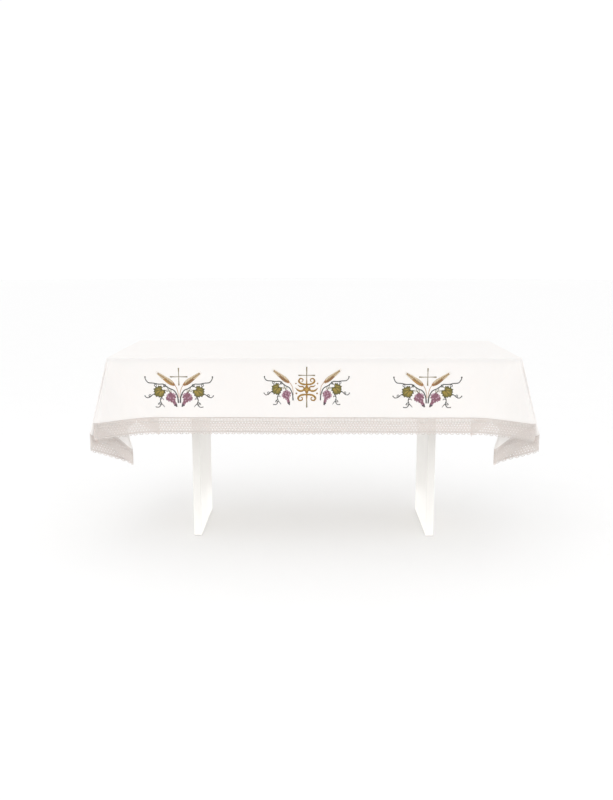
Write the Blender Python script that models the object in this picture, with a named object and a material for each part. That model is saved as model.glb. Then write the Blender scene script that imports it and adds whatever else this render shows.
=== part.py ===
"""A white altar cloth with a lace edging, draped over a plain table.

The cloth is one sheet, given by closed loops round the table from the top edge down to the hem. At each
corner of the table the spare cloth hangs in two flutes with a valley between them, and the valley ends in
the cloth's own corner, under the table top. Metres, +Z up, +X along the table, -Y towards the front. The
origin is on the floor, under the middle of the table.
"""

import math
from typing import NamedTuple

import bmesh
import bpy
import numpy as np

# Table
TABLE_LENGTH = 2.00
TABLE_DEPTH = 0.80
TABLE_HEIGHT = 0.95
TOP_THICKNESS = 0.025
TOP_CORNER_RADIUS = 0.018
TOP_EDGE_RADIUS = 0.012
TOP_LOWER_EDGE_RADIUS = 0.003
LEG_OUT = 0.60
LEG_THICKNESS = 0.040
LEG_DEPTH = 0.46
LEG_EDGE_RADIUS = 0.003
RAIL_HEIGHT = 0.120
RAIL_THICKNESS = 0.030
GAP = 0.0003

# Cloth: its drops are measured from the table top down to the hem
CLOTH_THICKNESS = 0.002
FRONT_DROP = 0.288
SIDE_DROP = 0.360
CLOTH_EDGE_GAP = 0.002
CLOTH_BEND_RADIUS = 0.008
BEND_STEPS = 3
TOP_GRID_INSET = 0.060
FRONT_COLUMNS = 11
SIDE_COLUMNS = 3
HEM_SWAY = 0.003
SWAY_LENGTH = 0.57
FULL_SPREAD_OUT = 0.03
SHARP_ANGLE = math.radians(40)

# How far down a column each row lies, and where a fold that goes in under the board begins
ROW_DEPTHS = (0.06, 0.10, 0.16, 0.26, 0.42, 0.68, 1.0)
UNDER_START = 0.06

# Lace
LACE_THICKNESS = 0.0015
LACE_GAP = 0.0004
LACE_DEPTH = 0.073
SCALLOP_DEPTH = 0.009
SCALLOP_LENGTH = 0.028
SCALLOP_SHOULDER = 0.27
LEAST_COLUMN_STEP = 0.002

HEM_LENGTH = TABLE_LENGTH + 2 * SIDE_DROP
HEM_WIDTH = TABLE_DEPTH + 2 * FRONT_DROP
HANG_OUT = CLOTH_EDGE_GAP + CLOTH_THICKNESS / 2


class Fold(NamedTuple):
    """One bend of the hem at a corner of the table."""

    name: str
    hem_run: float  # along the hem from the cloth's own corner, minus on the front hem
    edge_run: float  # along the table's edge from the middle of its rounded corner, minus on the front
    out_x: float  # where the hem hangs, beyond the end of the table
    out_y: float  # and in front of the front of the table
    drop: float  # and below the table top
    rounding: float  # how far the bend's rounding reaches on each side
    steps: int  # columns in the rounding


FOLDS = (
    Fold("front drop", -0.590, -0.2285, -0.230, HANG_OUT, 0.290, 0.0, 0),
    Fold("first flute leaves the front", -0.535, -0.0385, -0.175, HANG_OUT, 0.292, 0.025, 1),
    Fold("first flute, rise", -0.455, -0.0270, -0.100, 0.033, 0.295, 0.025, 1),
    Fold("first flute, face", -0.382, -0.0200, -0.035, 0.068, 0.298, 0.030, 1),
    Fold("first flute, head", -0.303, -0.0130, 0.036, 0.100, 0.302, 0.018, 3),
    Fold("first flute, turn", -0.265, -0.0095, 0.062, 0.068, 0.306, 0.018, 3),
    Fold("first flute, back", -0.145, -0.0055, -0.025, 0.006, 0.374, 0.040, 1),
    Fold("valley, front side", -0.020, -0.0020, -0.100, -0.032, 0.457, 0.020, 4),
    Fold("valley, end side", 0.020, 0.0020, -0.103, -0.073, 0.463, 0.020, 4),
    Fold("second flute, back", 0.125, 0.0055, 0.000, -0.014, 0.410, 0.040, 1),
    Fold("second flute, turn", 0.228, 0.0095, 0.080, 0.044, 0.370, 0.018, 3),
    Fold("second flute, head", 0.262, 0.0130, 0.094, 0.008, 0.365, 0.018, 3),
    Fold("second flute, face", 0.343, 0.0200, 0.058, -0.062, 0.360, 0.030, 1),
    Fold("second flute meets the side", 0.433, 0.0380, HANG_OUT, -0.145, 0.360, 0.025, 1),
    Fold("side drop", 0.488, 0.1985, HANG_OUT, -0.200, 0.360, 0.0, 0),
)
FOLD_FIELDS = ("hem_run", "edge_run", "out_x", "out_y", "drop")


class Corner(NamedTuple):
    """How one corner of the cloth differs from the table of folds."""

    name: str
    side_x: int
    side_y: int
    spread: float  # scales how far the folds stand out
    sag: float  # lowers the flutes' hem


CORNERS = (
    Corner("front_left", -1, -1, 1.00, 0.000),
    Corner("front_right", 1, -1, 1.05, -0.002),
    Corner("back_right", 1, 1, 0.93, 0.003),
    Corner("back_left", -1, 1, 1.05, -0.004),
)


class Column(NamedTuple):
    """One line of the cloth from the table's edge down to the hem."""

    core: np.ndarray  # centre of the edge's rounding in plan, or the point beside it on a straight edge
    outward: np.ndarray  # from the core across the table's edge, in plan
    hem: np.ndarray  # where the column ends
    run: float  # its place along the hem, from the front left corner of the cloth


def clear_scene():
    for obj in list(bpy.data.objects):
        bpy.data.objects.remove(obj, do_unlink=True)


def plain_material(name, colour, roughness):
    material = bpy.data.materials.new(name)
    material.use_nodes = True
    shader = material.node_tree.nodes["Principled BSDF"]
    shader.inputs["Base Color"].default_value = (*colour, 1.0)
    shader.inputs["Roughness"].default_value = roughness
    shader.inputs["Metallic"].default_value = 0.0
    return material


def add_object(name, mesh_data, material):
    mesh = bpy.data.meshes.new(name)
    mesh_data.to_mesh(mesh)
    mesh_data.free()
    mesh.materials.append(material)
    mesh.set_sharp_from_angle(angle=SHARP_ANGLE)
    obj = bpy.data.objects.new(name, mesh)
    bpy.context.scene.collection.objects.link(obj)
    return obj


# Folds


def rounded_folds():
    """The table of folds with each bend rounded, as rows of FOLD_FIELDS."""
    rows = np.array([[getattr(fold, field) for field in FOLD_FIELDS] for fold in FOLDS])
    places = rows[:, 2:]
    columns = [rows[0]]
    for index in range(1, len(FOLDS) - 1):
        fold = FOLDS[index]
        before = fold.rounding / np.linalg.norm(places[index] - places[index - 1])
        after = fold.rounding / np.linalg.norm(places[index] - places[index + 1])
        start = rows[index] + before * (rows[index - 1] - rows[index])
        end = rows[index] + after * (rows[index + 1] - rows[index])
        for step in range(fold.steps + 1):
            part = step / fold.steps
            towards = (1 - part) * start + part * rows[index]
            away = (1 - part) * rows[index] + part * end
            columns.append((1 - part) * towards + part * away)
    columns.append(rows[-1])
    return columns


def edge_place(edge_run):
    """(core, outward) in plan, in front of and beyond the front right corner of the table."""
    arc = (TOP_CORNER_RADIUS + HANG_OUT) * math.pi / 4
    beyond = max(0.0, abs(edge_run) - arc)
    angle = math.pi / 4 * min(1.0, abs(edge_run) / arc)
    angle = math.pi / 4 - math.copysign(angle, edge_run)
    core = np.array([-TOP_CORNER_RADIUS, -TOP_CORNER_RADIUS])
    core[0 if edge_run < 0 else 1] -= beyond
    return core, np.array([math.cos(angle), math.sin(angle)])


def corner_columns(corner, corner_run):
    """The columns at one corner, anticlockwise seen from above."""
    sides = np.array([corner.side_x, corner.side_y])
    half = np.array([TABLE_LENGTH, TABLE_DEPTH]) / 2
    clockwise = corner.side_x * corner.side_y > 0
    columns = []
    for hem_run, edge_run, out_x, out_y, drop in rounded_folds():
        core, outward = edge_place(edge_run)
        standing_out = np.array([out_x, out_y])
        clear = min(1.0, abs(standing_out - HANG_OUT).min() / FULL_SPREAD_OUT)
        drawn = math.sin(math.pi / 2 * clear)
        place = standing_out * (1 + (corner.spread - 1) * drawn)
        low = drop + corner.sag * drawn
        hem = np.array([*(sides * (half + place)), TABLE_HEIGHT - low])
        run = corner_run - hem_run if clockwise else corner_run + hem_run
        columns.append(Column(sides * (half + core), sides * outward, hem, run))
    return columns[::-1] if clockwise else columns


def straight_columns(start, end, count):
    """The columns between two corners, with a slight sway of the hem."""
    columns = []
    for step in range(1, count + 1):
        part = step / (count + 1)
        core = start.core + part * (end.core - start.core)
        hem = start.hem + part * (end.hem - start.hem)
        run = start.run + part * (end.run - start.run)
        sway = HEM_SWAY * math.sin(2 * math.pi * run / SWAY_LENGTH) * math.sin(math.pi * part)
        hem = hem + sway * np.array([*start.outward, 0.0])
        columns.append(Column(core, start.outward, hem, run))
    return columns


def cloth_columns():
    """(all columns round the table, the run of each corner of the cloth and of the last one once more)."""
    front_left, front_right, back_right, back_left = CORNERS
    runs = np.cumsum([0.0, HEM_LENGTH, HEM_WIDTH, HEM_LENGTH, HEM_WIDTH])
    groups = [
        corner_columns(front_left, runs[0]),
        corner_columns(front_right, runs[1]),
        corner_columns(back_right, runs[2]),
        corner_columns(back_left, runs[3]),
    ]
    groups.append([column._replace(run=column.run + runs[4]) for column in groups[0]])
    counts = (FRONT_COLUMNS, SIDE_COLUMNS, FRONT_COLUMNS, SIDE_COLUMNS)
    columns = []
    for group, following, count in zip(groups, groups[1:], counts):
        columns += group + straight_columns(group[-1], following[0], count)
    return columns, runs


def plan_normals(points):
    """The outward direction at each point of a loop in plan, longer at a bend to keep an offset's width."""
    plan = np.asarray(points)[:, :2]
    ahead = np.roll(plan, -1, axis=0) - plan
    ahead /= np.linalg.norm(ahead, axis=1, keepdims=True)
    right = np.stack([ahead[:, 1], -ahead[:, 0]], axis=1)
    behind = np.roll(right, 1, axis=0)
    return (right + behind) / (1 + (right * behind).sum(axis=1, keepdims=True))


# Cloth


def bend_rows(columns):
    """(points, normals) of each row where the cloth bends over the edge."""
    centre_out = HANG_OUT - CLOTH_BEND_RADIUS
    centre_up = TABLE_HEIGHT + GAP + CLOTH_THICKNESS / 2 - CLOTH_BEND_RADIUS
    for step in range(BEND_STEPS + 1):
        angle = math.pi / 2 * step / BEND_STEPS
        out = TOP_CORNER_RADIUS + centre_out + CLOTH_BEND_RADIUS * math.sin(angle)
        up = centre_up + CLOTH_BEND_RADIUS * math.cos(angle)
        points = [[*(column.core + out * column.outward), up] for column in columns]
        normals = [[*(math.sin(angle) * column.outward), math.cos(angle)] for column in columns]
        yield np.array(points), np.array(normals)


def hanging_rows(columns, top_row):
    """(points, normals) of each row below the bend."""
    hems = np.array([column.hem for column in columns])
    beyond = np.abs(hems[:, :2]) - np.array([TABLE_LENGTH, TABLE_DEPTH]) / 2
    start = UNDER_START * np.clip(1 - beyond.max(axis=1) / HANG_OUT, 0.0, 1.0)
    for depth in ROW_DEPTHS:
        aside = np.maximum(0.0, depth - start) / (1 - start)
        points = top_row.copy()
        points[:, :2] += aside[:, None] * (hems - top_row)[:, :2]
        points[:, 2] += depth * (hems - top_row)[:, 2]
        normals = np.zeros_like(points)
        normals[:, :2] = plan_normals(points)
        yield points, normals


def add_layer(mesh_data, rows, way):
    """One face of the sheet: a vertex for each point of each row, and the top's grid inside the first."""
    half = way * CLOTH_THICKNESS / 2
    loops = []
    for points, normals in rows:
        loops.append([mesh_data.verts.new(place) for place in points + half * normals])
    for upper, lower in zip(loops, loops[1:]):
        for index in range(len(upper)):
            mesh_data.faces.new((upper[index - 1], lower[index - 1], lower[index])[::way])
            mesh_data.faces.new((upper[index - 1], lower[index], upper[index])[::way])
    add_top(mesh_data, loops[0], way)
    return loops[-1]


def add_top(mesh_data, loop, way):
    """The flat top: a grid of quads, whose four corners fan out to the rounded corners of the first row."""
    limit = TABLE_LENGTH / 2 - TOP_GRID_INSET, TABLE_DEPTH / 2 - TOP_GRID_INSET
    level = loop[0].co.z
    inner = {}

    def grid_vertex(vert):
        place = [max(-most, min(most, value)) for value, most in zip(vert.co, limit)]
        key = tuple(round(value, 6) for value in place)
        if key not in inner:
            inner[key] = mesh_data.verts.new((*place, level))
        return inner[key]

    for index in range(len(loop)):
        start, end = loop[index - 1], loop[index]
        outline = [grid_vertex(start), start, end, grid_vertex(end)]
        mesh_data.faces.new(list(dict.fromkeys(outline))[::way])
    across = sorted({key[0] for key in inner if abs(key[1]) > limit[1] - GAP})
    along = sorted({key[1] for key in inner if abs(key[0]) > limit[0] - GAP})
    for x in across:
        for y in along:
            if (x, y) not in inner:
                inner[x, y] = mesh_data.verts.new((x, y, level))
    for left, right in zip(across, across[1:]):
        for front, back in zip(along, along[1:]):
            corners = ((left, front), (right, front), (right, back), (left, back))
            mesh_data.faces.new([inner[corner] for corner in corners][::way])


def add_cloth(columns, material):
    rows = list(bend_rows(columns))
    rows += hanging_rows(columns, rows[-1][0])
    mesh_data = bmesh.new()
    outer = add_layer(mesh_data, rows, 1)
    inner = add_layer(mesh_data, rows, -1)
    for index in range(len(outer)):
        mesh_data.faces.new((outer[index - 1], inner[index - 1], inner[index], outer[index]))
    return add_object("cloth", mesh_data, material)


# Lace


def scallop_runs(start, end):
    """{run: depth} at the points of the scalloped edge between two corners."""
    count = round((end - start) / SCALLOP_LENGTH)
    depths = {}
    for index in range(count):
        for part, low in ((0.0, 0.0), (SCALLOP_SHOULDER, 1.0), (1 - SCALLOP_SHOULDER, 1.0)):
            run = start + (index + part) * (end - start) / count
            depths[run] = LACE_DEPTH + low * SCALLOP_DEPTH
    depths[end] = LACE_DEPTH
    return depths


def lace_columns(columns, start, end):
    """(run, depth) of each column of one length: the scallops' own, and one at each bend of the hem."""
    depths = scallop_runs(start, end)
    bends = [column.run for column in columns if start < column.run < end]
    clear = [run for run in depths if all(abs(run - bend) > LEAST_COLUMN_STEP for bend in bends)]
    kept = {run: depths[run] for run in clear}
    kept[start] = depths[start]
    kept[end] = depths[end]
    edge = sorted(depths)
    for bend in bends:
        if min(bend - start, end - bend) > LEAST_COLUMN_STEP:
            kept[bend] = float(np.interp(bend, edge, [depths[run] for run in edge]))
    return sorted(kept.items())


def add_lace(name, columns, start, end, total_run, material):
    """One length of lace, hanging plumb from the hem, from one corner of the cloth to the next."""
    ordered = sorted(columns, key=lambda column: column.run % total_run)
    hem_runs = [column.run % total_run for column in ordered]
    hems = np.array([column.hem for column in ordered])
    listed = [column._replace(run=run) for column, run in zip(ordered, hem_runs)]
    along = lace_columns(listed, start + GAP / 2, end - GAP / 2)
    runs = [run for run, low in along]
    axes = [np.interp(runs, hem_runs, values, period=total_run) for values in hems.T]
    top = np.stack(axes, axis=1)
    top[:, 2] -= LACE_GAP
    aside = np.zeros_like(top)
    aside[:, :2] = plan_normals(top)
    for index, way in ((0, top[1] - top[0]), (-1, top[-1] - top[-2])):
        aside[index, :2] = np.array([way[1], -way[0]]) / np.linalg.norm(way[:2])
    bottom = top - np.array([[0.0, 0.0, low] for run, low in along])
    half = LACE_THICKNESS / 2
    mesh_data = bmesh.new()
    rings = [
        [mesh_data.verts.new(place) for place in corners]
        for corners in zip(
            top + half * aside,
            bottom + half * aside,
            bottom - half * aside,
            top - half * aside,
        )
    ]
    for ring, following in zip(rings, rings[1:]):
        for corner in range(4):
            after = (corner + 1) % 4
            mesh_data.faces.new((ring[corner], ring[after], following[after], following[corner]))
    mesh_data.faces.new(rings[0][::-1])
    mesh_data.faces.new(rings[-1])
    return add_object(name, mesh_data, material)


# Table


def box(name, centre, size, edge_radius, material):
    mesh_data = bmesh.new()
    bmesh.ops.create_cube(mesh_data, size=1.0)
    bmesh.ops.scale(mesh_data, vec=size, verts=mesh_data.verts)
    bmesh.ops.bevel(
        mesh_data,
        geom=mesh_data.edges[:],
        offset=edge_radius,
        segments=1,
        profile=0.5,
        affect="EDGES",
    )
    obj = add_object(name, mesh_data, material)
    obj.location = centre
    return obj


def table_top(material):
    """The board: its upright corners are rounded first, then its upper and lower edges."""
    mesh_data = bmesh.new()
    bmesh.ops.create_cube(mesh_data, size=1.0)
    bmesh.ops.scale(mesh_data, vec=(TABLE_LENGTH, TABLE_DEPTH, TOP_THICKNESS), verts=mesh_data.verts)
    heights = {edge: [vert.co.z for vert in edge.verts] for edge in mesh_data.edges}
    upright = [edge for edge, (first, second) in heights.items() if abs(first - second) > GAP]
    bmesh.ops.bevel(
        mesh_data, geom=upright, offset=TOP_CORNER_RADIUS, segments=5, profile=0.5, affect="EDGES"
    )
    for side, radius, segments in ((1, TOP_EDGE_RADIUS, 3), (-1, TOP_LOWER_EDGE_RADIUS, 1)):
        level = side * TOP_THICKNESS / 2
        heights = {edge: [vert.co.z for vert in edge.verts] for edge in mesh_data.edges}
        rim = [edge for edge, both in heights.items() if max(abs(up - level) for up in both) < GAP]
        bmesh.ops.bevel(
            mesh_data, geom=rim, offset=radius, segments=segments, profile=0.5, affect="EDGES"
        )
    obj = add_object("table_top", mesh_data, material)
    obj.location.z = TABLE_HEIGHT - TOP_THICKNESS / 2
    return obj


def add_table(material):
    table_top(material)
    leg_height = TABLE_HEIGHT - TOP_THICKNESS - GAP
    for name, side in (("leg_left", -1), ("leg_right", 1)):
        centre = (side * LEG_OUT, 0.0, leg_height / 2)
        box(name, centre, (LEG_THICKNESS, LEG_DEPTH, leg_height), LEG_EDGE_RADIUS, material)
    rail_length = 2 * LEG_OUT - LEG_THICKNESS - 2 * GAP
    centre = (0.0, 0.0, leg_height - RAIL_HEIGHT / 2)
    box("rail", centre, (rail_length, RAIL_THICKNESS, RAIL_HEIGHT), LEG_EDGE_RADIUS, material)


def main():
    clear_scene()
    linen = plain_material("white_linen", (0.93, 0.92, 0.90), 0.85)
    lace = plain_material("ecru_lace", (0.82, 0.78, 0.74), 0.85)
    paint = plain_material("white_paint", (0.86, 0.86, 0.85), 0.45)
    columns, runs = cloth_columns()
    add_cloth(columns, linen)
    for name, start, end in zip(("lace_front", "lace_right", "lace_back", "lace_left"), runs, runs[1:]):
        add_lace(name, columns, start, end, runs[-1], lace)
    add_table(paint)


main()
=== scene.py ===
"""Dresses an altar cloth with a lace edging and coloured embroidery, and the plain table that it falls over.

Metres, +Z up, the front is towards -Y. Cloth, lace and embroidery are drawn on the flat cloth, as it was
cut, and Drape carries each point over the table's edge and into the folds at the corners.
"""

import math

import bmesh
import bpy
import numpy as np
from bpy.props import FloatProperty, FloatVectorProperty, PointerProperty
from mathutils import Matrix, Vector


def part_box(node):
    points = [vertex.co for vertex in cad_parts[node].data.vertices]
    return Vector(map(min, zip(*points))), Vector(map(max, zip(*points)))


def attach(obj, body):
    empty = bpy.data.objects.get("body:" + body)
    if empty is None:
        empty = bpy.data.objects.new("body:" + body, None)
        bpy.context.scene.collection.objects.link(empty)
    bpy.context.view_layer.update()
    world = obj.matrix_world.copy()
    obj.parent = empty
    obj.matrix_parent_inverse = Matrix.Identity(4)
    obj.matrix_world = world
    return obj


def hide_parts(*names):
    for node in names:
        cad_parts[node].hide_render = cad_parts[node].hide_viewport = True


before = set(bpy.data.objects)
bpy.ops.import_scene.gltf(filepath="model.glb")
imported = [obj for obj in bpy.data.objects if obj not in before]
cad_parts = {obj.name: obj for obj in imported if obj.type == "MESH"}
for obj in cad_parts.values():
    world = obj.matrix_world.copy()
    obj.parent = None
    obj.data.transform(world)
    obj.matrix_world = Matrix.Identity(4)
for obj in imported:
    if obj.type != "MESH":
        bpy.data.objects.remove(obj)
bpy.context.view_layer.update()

bl_info = {
    "name": "Altar cloth on a plain table",
    "version": (1, 0, 0),
    "blender": (4, 5, 0),
    "location": "3D View > Sidebar > Altar cloth",
    "description": "Drapes an embroidered, lace-edged altar cloth over its table",
    "category": "Object",
}


def linear(colour):
    """An sRGB hex colour as linear red, green, blue and alpha."""
    channels = [int(colour[place : place + 2], 16) / 255 for place in (1, 3, 5)]
    return (*[c / 12.92 if c <= 0.04045 else ((c + 0.055) / 1.055) ** 2.4 for c in channels], 1.0)


# Folds: the solid cloth's own, repeated here because the part's source can't be read

HALF_LENGTH, HALF_DEPTH, TABLE_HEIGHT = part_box("table_top")[1]
CORNER_RADIUS = 0.018  # of the board, in plan
HANG_OUT = 0.003  # from the board's side to the middle of the cloth
LIE_ABOVE = 0.0013  # from the board's top to the middle of the cloth
BEND_RADIUS = 0.008
UNDER_START = 0.06  # how far down a fold that goes in under the board begins
FULL_SPREAD_OUT = 0.03
ARC = (CORNER_RADIUS + HANG_OUT) * math.pi / 4
BEND_START = CORNER_RADIUS + HANG_OUT - BEND_RADIUS
BEND_LENGTH = BEND_RADIUS * math.pi / 2
BEND_END = BEND_START + BEND_LENGTH
BEND_FOOT = TABLE_HEIGHT + LIE_ABOVE - BEND_RADIUS

# Hem run from the cloth's corner, run along the table's edge, hem beyond the end, hem beyond the front,
# drop, rounding. Minus is on the front of the corner, or inside the table's outline.
FOLDS = np.array(
    (
        (-0.590, -0.2285, -0.230, HANG_OUT, 0.290, 0.000),  # front drop
        (-0.535, -0.0385, -0.175, HANG_OUT, 0.292, 0.025),  # first flute leaves the front
        (-0.455, -0.0270, -0.100, 0.033, 0.295, 0.025),
        (-0.382, -0.0200, -0.035, 0.068, 0.298, 0.030),
        (-0.303, -0.0130, 0.036, 0.100, 0.302, 0.018),  # its head
        (-0.265, -0.0095, 0.062, 0.068, 0.306, 0.018),
        (-0.145, -0.0055, -0.025, 0.006, 0.374, 0.040),
        (-0.020, -0.0020, -0.100, -0.032, 0.457, 0.020),  # valley
        (0.020, 0.0020, -0.103, -0.073, 0.463, 0.020),
        (0.125, 0.0055, 0.000, -0.014, 0.410, 0.040),
        (0.228, 0.0095, 0.080, 0.044, 0.370, 0.018),  # second flute's turn
        (0.262, 0.0130, 0.094, 0.008, 0.365, 0.018),
        (0.343, 0.0200, 0.058, -0.062, 0.360, 0.030),
        (0.433, 0.0380, HANG_OUT, -0.145, 0.360, 0.025),
        (0.488, 0.1985, HANG_OUT, -0.200, 0.360, 0.000),  # side drop
    )
)
BEND_STEPS = 8
# Side along X, side along Y, how far the folds stand out, how far they sag
CORNERS = ((-1, -1, 1.00, 0.0), (1, -1, 1.05, -0.002), (1, 1, 0.93, 0.003), (-1, 1, 1.05, -0.004))

# Creases pressed into the drops: side, places on the flat cloth as (run, depth), height and width
CREASES = (
    ("front", ((0.118, 0.120), (0.150, 0.160), (0.186, 0.196), (0.210, 0.286)), -0.0011, 0.007),
    ("front", ((0.142, 0.130), (0.176, 0.165), (0.214, 0.205), (0.232, 0.280)), 0.0008, 0.010),
    ("front", ((-0.420, 0.030), (-0.405, 0.130), (-0.430, 0.240)), -0.0006, 0.014),
    ("front", ((-0.250, 0.060), (-0.262, 0.190), (-0.240, 0.286)), 0.0006, 0.018),
    ("front", ((0.330, 0.040), (0.318, 0.150), (0.338, 0.280)), -0.0006, 0.015),
    ("front", ((0.760, 0.020), (0.735, 0.140), (0.742, 0.270)), 0.0007, 0.016),
    ("front", ((-0.880, 0.015), (-0.850, 0.120), (-0.835, 0.260)), 0.0007, 0.018),
    ("front", ((0.905, 0.012), (0.880, 0.110), (0.862, 0.250)), -0.0007, 0.014),
    ("back", ((-0.360, 0.030), (-0.340, 0.150), (-0.365, 0.280)), -0.0009, 0.014),
    ("back", ((0.210, 0.020), (0.236, 0.140), (0.222, 0.270)), 0.0009, 0.016),
    ("right", ((-0.060, 0.030), (-0.045, 0.180), (-0.075, 0.350)), -0.0010, 0.013),
    ("right", ((0.110, 0.020), (0.100, 0.160), (0.122, 0.330)), 0.0009, 0.015),
    ("left", ((0.075, 0.030), (0.062, 0.200), (0.088, 0.350)), -0.0010, 0.014),
    ("left", ((-0.105, 0.020), (-0.090, 0.170), (-0.112, 0.330)), 0.0008, 0.016),
)
DROP_WAVES = (0.0005, 0.0004)  # heights of the long and the short soft waves of the drops
TOP_WAVE = 0.0005  # height of the soft waves on the table top
HEM_SLOPE = 0.0015  # width of the step at the turned hem's edge


# Sizes and colours


def size(name, description, default, low=0.0, high=3.0):
    return FloatProperty(
        name=name, description=description, default=default, min=low, max=high, unit="LENGTH", precision=4
    )


def colour(name, description, default):
    return FloatVectorProperty(
        name=name, description=description, default=linear(default), size=4, min=0.0, max=1.0, subtype="COLOR"
    )


class ALTAR_PG_cloth(bpy.types.PropertyGroup):
    """Sizes and colour of the linen cloth."""

    front_drop: size("Front drop", "From the table top down to the hem at the front and back", 0.290)
    side_drop: size("Side drop", "From the table top down to the hem at the ends", 0.360)
    thickness: size("Thickness", "Thickness of the linen", 0.0006, 0.0002, 0.002)
    hem: size("Hem", "Depth of the turned hem", 0.012, 0.002, 0.05)
    hem_rise: size("Hem rise", "How far the turned hem stands proud", 0.0003, 0.0, 0.001)
    sway: size("Sway", "How far the straight hem sways in and out", 0.003, 0.0, 0.01)
    sway_length: size("Sway length", "Length of one sway of the hem", 0.57, 0.1)
    thread: size("Thread spacing", "Distance between threads as drawn, coarser than the real 0.5 mm", 0.0016)
    linen: colour("Linen", "Bleached linen", "#F6F2EF")


class ALTAR_PG_lace(bpy.types.PropertyGroup):
    """Sizes and colour of the lace edging."""

    depth: size("Depth", "Depth of the lace between two scallops", 0.073, 0.03, 0.2)
    scallop: size("Scallop depth", "How far a scallop hangs below that", 0.009, 0.0, 0.05)
    repeat: size("Repeat", "Length of one scallop", 0.028, 0.01, 0.1)
    thickness: size("Thickness", "Thickness of the lace", 0.0005, 0.0002, 0.002)
    fine_bar: size("Fine bar", "Half width of the net's bar round an open hole", 0.0012, 0.0002, 0.002)
    broad_bar: size("Broad bar", "Half width of the net's bar round a close hole", 0.0025, 0.0002, 0.003)
    # Ecru is the cotton's own colour, toned a little darker still as painted shade for the lace's relief
    cotton: colour("Cotton", "Ecru lace cotton", "#DED6D1")


class ALTAR_PG_embroidery(bpy.types.PropertyGroup):
    """Places, sizes and thread colours of the embroidery on the front drop."""

    left_place: size("Left motif", "Middle of the left motif along the table", -0.652, -0.9, 0.9)
    centre_place: size("Centre motif", "Middle of the centre motif along the table", -0.034, -0.9, 0.9)
    right_place: size("Right motif", "Middle of the right motif along the table", 0.549, -0.9, 0.9)
    stitch_rise: size("Stitch rise", "How far satin stitch stands above the linen", 0.0009, 0.0002, 0.003)
    vine: colour("Vine", "Dark green-grey thread of vines and tendrils", "#414340")
    leaf: colour("Leaf", "Olive thread of the leaves", "#7C7230")
    leaf_gold: colour("Leaf gold", "Gold thread of the leaves' lit side", "#AD9442")
    leaf_dark: colour("Leaf dark", "Dark green thread of veins and edges", "#4E4C2B")
    grape: colour("Grape", "Mauve thread of the grapes", "#90606F")
    grape_light: colour("Grape light", "Pale mauve thread of the lit grapes", "#BE97A8")
    grape_dark: colour("Grape dark", "Dark thread at the tip of a bunch", "#574A50")
    wheat: colour("Wheat", "Gold thread of the ears", "#C09657")
    # Painted shade: this brown shows between the grains and on one row of each shaded ear
    wheat_shade: colour("Wheat shade", "Brown thread between the grains", "#98734A")
    wheat_pale: colour("Wheat tip", "Straw thread at the tips of the ears", "#DCCAA8")
    wheat_base: colour("Wheat base", "Orange thread at the foot of the ears and the stalks", "#BB8650")
    cross: colour("Cross", "Grey-gold thread of the cross", "#82744F")
    gold: colour("Gold", "Gold thread of the centre ornament", "#A0782E")
    gold_light: colour("Gold light", "Light gold thread of its fillings", "#CBA24F")


class ALTAR_PG_table(bpy.types.PropertyGroup):
    """Finish of the plain table."""

    paint: colour("Paint", "Satin white paint on wood", "#E9E7E3")
    grain: size("Brush marks", "Distance between brush marks", 0.004, 0.0005, 0.05)


class ALTAR_PG_stage(bpy.types.PropertyGroup):
    """Floor, light and camera."""

    floor: colour("Floor", "Pale studio floor", "#FBFBFB")
    sky: FloatProperty(name="Surrounding light", description="Strength of the white surround", default=1.03)
    key: FloatProperty(name="Key light", description="Power of the soft main light", default=14.0, unit="POWER")
    up: FloatProperty(
        name="Up light",
        description="Power of each light that lifts the shade under the cloth",
        default=4.4,
        unit="POWER",
    )
    lens: FloatProperty(name="Lens", description="Focal length of the camera in millimetres", default=38.36)
    eye_height: size("Eye height", "Height of the camera above the floor", 1.467)


GROUPS = {
    "altar_cloth": ALTAR_PG_cloth,
    "altar_lace": ALTAR_PG_lace,
    "altar_embroidery": ALTAR_PG_embroidery,
    "altar_table": ALTAR_PG_table,
    "altar_stage": ALTAR_PG_stage,
}


# Drape


def smooth_step(low, high, value):
    part = np.clip((value - low) / (high - low), 0.0, 1.0)
    return part * part * (3 - 2 * part)


def rounded_folds():
    """The folds with each bend rounded by a curve of several steps."""
    places = FOLDS[:, 2:5]
    columns = [FOLDS[0, :5]]
    for before, bend, after in zip(FOLDS, FOLDS[1:], FOLDS[2:]):
        start = bend + bend[5] / np.linalg.norm((bend - before)[2:5]) * (before - bend)
        end = bend + bend[5] / np.linalg.norm((after - bend)[2:5]) * (after - bend)
        for part in np.linspace(0.0, 1.0, BEND_STEPS + 1):
            curve = (1 - part) ** 2 * start + 2 * part * (1 - part) * bend + part**2 * end
            columns.append(curve[:5])
    columns.append(FOLDS[-1, :5])
    return np.array(columns)


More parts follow.
